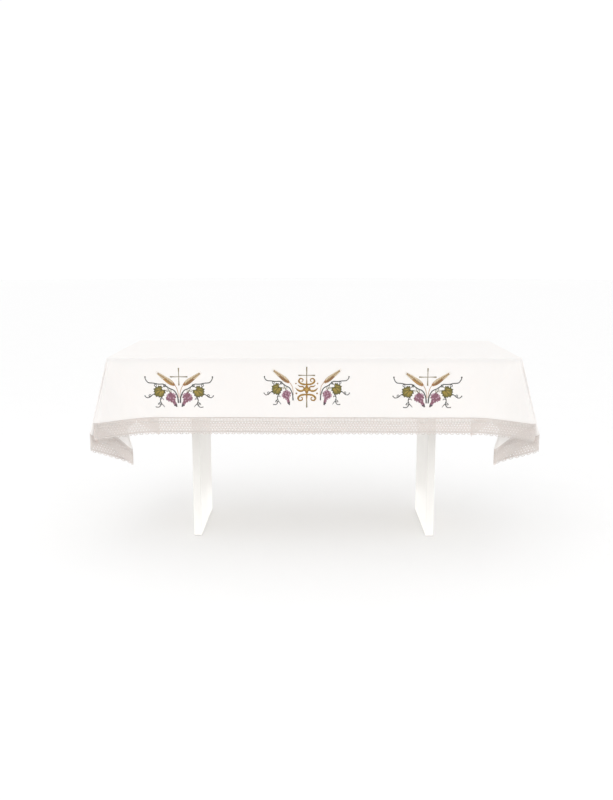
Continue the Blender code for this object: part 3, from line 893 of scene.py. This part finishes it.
def draw_ear(stitches, foot, tip, width, shaded):
    """An ear of wheat: a brown ground that paints the shade between the grains, two rows of grains over it,
    pale at the tip and orange at the foot, and awns. On a shaded ear the lower half of one row is brown, as
    painted shade."""
    foot, tip = Vector(foot), Vector(tip)
    way = tip - foot
    across = Vector((-way.y, way.x)).normalized()
    full = [foot + part * way for part in (0.0, 0.25, 0.5, 0.75, 1.0)]
    shape = [share * width for share in (0.40, 0.82, 0.92, 0.82, 0.62, 0.42, 0.22)]
    # The ground: brown thread as painted shade between the grains
    stitches.line(full, shape, "wheat_shade", 0.6)
    rows = 10
    for row in range(rows):
        part = (row + 0.15) / (rows + 0.8)
        wide = float(np.interp(part + 0.06, np.linspace(0.0, 1.0, len(shape)), shape))
        for side in (-1, 1):
            middle_tone = "wheat_pale" if side < 0 else "wheat_shade" if shaded else "wheat"
            thread = "wheat_base" if part < 0.05 else middle_tone if part < 0.52 else "wheat_pale"
            root = foot + part * way + side * 0.5 * across
            end = root + 0.15 * way + side * 0.40 * wide * across
            bulge = (root + end) / 2 + side * 0.10 * wide * across
            stitches.line([root, bulge, end], (1.2, 1.0 + 0.34 * wide, 1.0), thread, 1.4, steps=3)
            if row > 4:
                out = end + 0.10 * way + side * 0.04 * wide * across
                stitches.line([end, (end + out) / 2, out], (1.2, 0.9, 0.5), "wheat_pale", 0.8, steps=2)
    stitches.line([foot, foot + 0.3 * way, foot + 0.6 * way], (2.0, 1.4, 0.8), "wheat_shade", 1.6, steps=4)


def draw_grapes(stitches, top, tip, pale):
    """A hanging bunch of grapes over a darker ground, wide above and narrow at its dark tip. Every pale-th
    grape is light."""
    top, tip = Vector(top), Vector(tip)
    way = tip - top
    across = Vector((-way.y, way.x)).normalized()
    lean = math.atan2(way.y, way.x)
    for part, outline, height, segments in (
        (0.18, lambda angle: 20.5 + 2.0 * math.cos(5 * angle), 0.5, 30),
        (0.66, lambda angle: 7.0 + 9.0 * math.cos(angle) ** 2, 0.6, 24),
    ):
        stitches.disc(top + part * way, outline, "grape", height, segments, lean)
    rows = ((-0.08, 3), (0.06, 5), (0.20, 6), (0.34, 5), (0.48, 3), (0.62, 2), (0.75, 2), (0.88, 2), (1.0, 1))
    for index, (part, count) in enumerate(rows):
        for place in range(count):
            shift = (place - (count - 1) / 2) * (9.6 - 2.0 * part)
            uneven = Vector((0.0, 1.2 * math.sin(5.1 * place + 2.3 * index)))
            middle = top + part * way + shift * across + uneven
            lit = (place + 2 * index) % pale == 0
            tone = "grape_dark" if part > 0.8 else "grape_light" if lit else "grape"
            radius = 5.0 + 0.6 * math.sin(3.7 * place + 1.9 * index) - 0.8 * part
            stitches.disc(middle, radius, tone, 1.5, segments=10)


def draw_spray(stitches, pale, spread=0.0, droop=0.0):
    """One side of a motif: a wheat ear, a vine with curls, a leaf, a bunch of grapes and its tendrils. spread
    moves the ear and the tip of the bunch outwards, and droop lowers the vine's end."""
    # Painted shade: the ears on the right of a side motif, and both ears of the centre motif, are shaded
    shaded = spread > 0 or not stitches.mirrored
    draw_ear(stitches, (22 + spread, 131), (102 + 2 * spread, 73), 27.0, shaded)
    end = [(164, 90 + droop), (160, 104 + 0.7 * droop), (148, 118 + 0.3 * droop), (124, 121 + 0.2 * droop)]
    vine = [(100, 126), (76, 126), (62, 136), (46, 147), (26, 156), (14, 172), (7.0, 192), (4.6, 218)]
    for path, widths, thread, height in (
        ([(22 + spread, 128), (11, 147), (5.0, 170), (2.6, 192)], (3.0, 2.8, 2.6, 2.0), "wheat_base", 1.0),
        (end + vine, (4.2, 4.6, 4.8, 5.2, 6.6), "vine", 1.0),
        ([(58, 138), (53, 150), (46, 166), (41, 172)], (2.6, 2.4, 3.0), "leaf_dark", 0.8),
        ([(66, 132), (78, 140), (90, 150)], (2.8, 3.2, 2.8), "leaf_dark", 1.0),
        ([(118, 172), (130, 179), (142, 189), (156, 192), (166, 184)], (4.2, 3.8, 4.0, 3.8), "vine", 1.0),
        ([(88, 190), (92, 206), (88, 222), (98, 238), (114, 239)], (4.4, 4.4, 4.0, 3.8), "vine", 1.0),
        ([(91, 200), (80, 197), (76, 203)], (3.6, 3.4, 2.6), "vine", 1.0),
        ([(89, 220), (80, 228), (72, 238)], (3.8, 3.6, 2.6), "vine", 1.0),
        ([(91, 214), (99, 219), (104, 226)], (3.4, 3.0, 2.4), "vine", 1.0),
    ):
        stitches.line(path, widths, thread, height)
    buds = ((163, 91 + droop), 4.0, 10), ((166, 183), 3.0, 8), ((114, 238), 2.6, 8)
    for middle, radius, segments in buds:
        stitches.disc(middle, radius, "vine", segments=segments)
    for middle, radius, start, turns, thread, width in (
        ((113, 132), 7.0, -1.9, 1.1, "vine", 3.2),
        ((69, 134), 6.6, -2.4, 1.15, "vine", 3.2),
        ((57, 158), 5.6, -1.2, 1.0, "leaf", 2.2),
        ((43, 159), 5.6, -2.0, -1.0, "leaf", 2.2),
        ((141, 182), 6.2, 1.4, -1.05, "vine", 3.2),
        ((97, 225), 4.8, 2.6, 0.9, "vine", 2.4),
    ):
        draw_curl(stitches, middle, radius, start, turns, thread, width)
    draw_leaf(stitches, (95, 163), 30.0, 0.75)
    draw_grapes(stitches, (46, 180), (14 + 2.4 * spread, 234 + 0.8 * spread), pale)


def draw_cross(stitches, top, foot, bar, reach, width):
    """A thin cross with flared ends, symmetrical about the middle."""
    flare = (1.9 * width, width, 0.85 * width, width, 1.9 * width)
    stem = [(0, top), (0, (2 * top + foot) / 3), (0, (top + 2 * foot) / 3), (0, foot)]
    stitches.line(stem, flare, "cross", 1.1)
    stitches.line([(-reach, bar), (-reach / 3, bar), (reach / 3, bar), (reach, bar)], flare, "cross", 1.2)


def draw_scrolls(stitches):
    """The centre ornament, symmetrical about its stem: a flower between paired scrolls and leaves."""
    low = [(2, 176), (14, 176), (30, 180), (42, 192), (36, 204), (23, 202), (21, 192), (28, 189)]
    high = [(2, 126), (14, 126), (29, 121), (38, 110), (31, 98), (19, 101), (19, 110), (25, 112)]
    for mirrored in (False, True):
        stitches.spray(mirrored)
        for path, widths, thread, height in (
            (low, (7.0, 8.6, 9.4, 8.6, 7.0, 5.4, 3.6), "gold", 1.3),
            (high, (7.0, 8.4, 9.0, 8.2, 6.6, 5.0, 3.4), "gold", 1.3),
            ([(9, 151), (24, 158), (40, 156), (55, 143)], (5.0, 10.0, 8.0, 2.0), "gold", 1.2),
            ([(14, 152), (28, 156), (43, 151)], (1.6, 3.6, 1.2), "gold_light", 1.9),
            ([(9, 145), (20, 137), (33, 136), (43, 128)], (4.0, 7.6, 6.0, 1.8), "gold", 1.2),
            ([(16, 177), (30, 183), (38, 193)], (1.4, 3.2, 1.2), "gold_light", 2.0),
            ([(15, 125), (28, 119), (34, 110)], (1.4, 3.0, 1.2), "gold_light", 2.0),
        ):
            stitches.line(path, widths, thread, height)
        stitches.disc((50, 170), 4.4, "gold", 1.4, segments=10)
        stitches.disc((52, 122), 3.6, "gold", 1.4, segments=10)
    stitches.spray(False)
    stitches.line([(0, 92), (0, 120), (0, 180), (0, 212)], (2.6, 9.0, 9.0, 2.6), "gold", 1.2)
    stitches.disc((0, 151), lambda angle: flower(angle, 19.0), "gold", 1.7, segments=40)
    stitches.disc((0, 151), lambda angle: flower(angle, 11.0), "gold_light", 2.3, segments=40)
    stitches.disc((0, 151), 3.4, "gold", 2.9, segments=10)


def flower(angle, size):
    """The outline of a flower with four broad petals."""
    return size * (0.55 + 0.45 * abs(math.cos(2 * angle)) ** 0.8)


class ALTAR_OT_embroidery(bpy.types.Operator):
    """Works three motifs in satin stitch on the front drop"""

    bl_idname = "altar.embroidery"
    bl_label = "Work the embroidery"

    def execute(self, context):
        sizes = context.scene.altar_embroidery
        drape = Drape(context.scene.altar_cloth)
        silks = [embroidery_silk(f"rayon_thread_{thread}", getattr(sizes, thread)) for thread in THREADS]
        for name in ("left", "centre", "right"):
            stitches = Stitches(getattr(sizes, f"{name}_place"), sizes.stitch_rise)
            stitches.spray(False)
            if name == "centre":
                draw_cross(stitches, 41, 239, 82, 40, 3.4)
                draw_scrolls(stitches)
            else:
                draw_cross(stitches, 47, 132, 90, 42, 3.6)
            for mirrored in (False, True):
                if name == "centre":
                    stitches.spray(mirrored, 62.0, 14.0, 0.87)
                    draw_spray(stitches, 2, 5.0, 12.0)
                else:
                    stitches.spray(mirrored)
                    draw_spray(stitches, 3)
            self.sew(drape, name, stitches, silks, context.scene.altar_cloth.thickness / 2)
        return {"FINISHED"}

    def sew(self, drape, name, stitches, silks, ground):
        motif = new_object(f"embroidery_{name}", stitches.mesh, silks)
        drawn = points_of(motif.data)
        top = drape.flat_place("front", 0.0, 0.0)[1]
        flat = np.stack([drawn[:, 0], top + drawn[:, 1]], axis=1)
        set_points(motif.data, drape.surface(flat, ground + drawn[:, 2]))
        solidify(motif, STITCH_WALL, -1.0)
        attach(motif, "root")


# Table


class ALTAR_OT_table(bpy.types.Operator):
    """Gives the board, the legs and the rail their painted finish"""

    bl_idname = "altar.table"
    bl_label = "Paint the table"

    def execute(self, context):
        paint = painted_wood(context.scene.altar_table)
        for name in ("table_top", "leg_left", "leg_right", "rail"):
            for slot in bpy.data.objects[name].material_slots:
                slot.material = paint
        return {"FINISHED"}


# Stage


class ALTAR_OT_stage(bpy.types.Operator):
    """Sets the floor, the light and the camera"""

    bl_idname = "altar.stage"
    bl_label = "Set the stage"

    def execute(self, context):
        sizes = context.scene.altar_stage
        ground = bmesh.new()
        bmesh.ops.create_circle(ground, cap_ends=True, segments=96, radius=40.0)
        new_object("studio_floor", ground, [studio_floor(sizes)])
        world = bpy.data.worlds.new("white_surround")
        world.use_nodes = True
        surround = {"Color": (1.0, 1.0, 1.0, 1.0), "Strength": sizes.sky}
        set_inputs(world.node_tree, world.node_tree.nodes["Background"], surround)
        context.scene.world = world
        middle = (0.0, 0.0, 0.75)
        for name, place, target, width, power in (
            ("key_light", (-1.6, -2.2, 4.2), middle, 3.0, sizes.key),
            ("fill_light", (3.0, -3.0, 2.2), middle, 3.0, 0.45 * sizes.key),
            ("up_light_left", (-0.8, 0.0, 0.004), (-0.8, 0.0, 1.0), 1.5, sizes.up),
            ("up_light_right", (0.8, 0.0, 0.004), (0.8, 0.0, 1.0), 1.5, sizes.up),
        ):
            lamp = bpy.data.lights.new(name, "AREA")
            lamp.shape = "DISK"
            lamp.size = width
            lamp.energy = power
            made = bpy.data.objects.new(name, lamp)
            made.location = place
            made.rotation_euler = (Vector(target) - Vector(place)).to_track_quat("-Z", "Y").to_euler()
            made.visible_camera = not name.startswith("up_light")
            context.scene.collection.objects.link(made)
        self.camera(context, sizes)
        context.scene.view_settings.view_transform = "Standard"
        return {"FINISHED"}

    def camera(self, context, sizes):
        """Stands in front of the table at the photograph's angle, looking 10 degrees down."""
        eye = bpy.data.cameras.new("camera")
        eye.sensor_fit = "VERTICAL"
        eye.sensor_height = 36.0
        eye.lens = sizes.lens
        eye.clip_end = 200.0
        made = bpy.data.objects.new("camera", eye)
        made.location = (0.0018, -4.4665, sizes.eye_height)
        made.rotation_euler = (math.radians(90 - 10.044), 0.0, math.radians(0.520))
        context.scene.collection.objects.link(made)
        context.scene.camera = made


# Add-on


OPERATORS = (ALTAR_OT_stage, ALTAR_OT_cloth, ALTAR_OT_lace, ALTAR_OT_embroidery, ALTAR_OT_table)


class ALTAR_PT_panel(bpy.types.Panel):
    """Lists the steps that make the cloth, with their sizes and colours"""

    bl_idname = "ALTAR_PT_panel"
    bl_label = "Altar cloth"
    bl_space_type = "VIEW_3D"
    bl_region_type = "UI"
    bl_category = "Altar cloth"

    def draw(self, context):
        for operator in OPERATORS:
            group = getattr(context.scene, operator.bl_idname.replace("altar.", "altar_"))
            box = self.layout.box()
            box.operator(operator.bl_idname)
            for name in group.bl_rna.properties.keys():
                if name not in ("rna_type", "name"):
                    box.prop(group, name)


def register():
    for group in GROUPS.values():
        bpy.utils.register_class(group)
    for name, group in GROUPS.items():
        setattr(bpy.types.Scene, name, PointerProperty(type=group))
    for operator in OPERATORS:
        bpy.utils.register_class(operator)
    bpy.utils.register_class(ALTAR_PT_panel)


def unregister():
    bpy.utils.unregister_class(ALTAR_PT_panel)
    for operator in reversed(OPERATORS):
        bpy.utils.unregister_class(operator)
    for name, group in GROUPS.items():
        delattr(bpy.types.Scene, name)
        bpy.utils.unregister_class(group)


def main():
    register()
    bpy.ops.altar.stage()
    bpy.ops.altar.cloth()
    bpy.ops.altar.lace()
    bpy.ops.altar.embroidery()
    bpy.ops.altar.table()


if __name__ == "__main__":
    main()
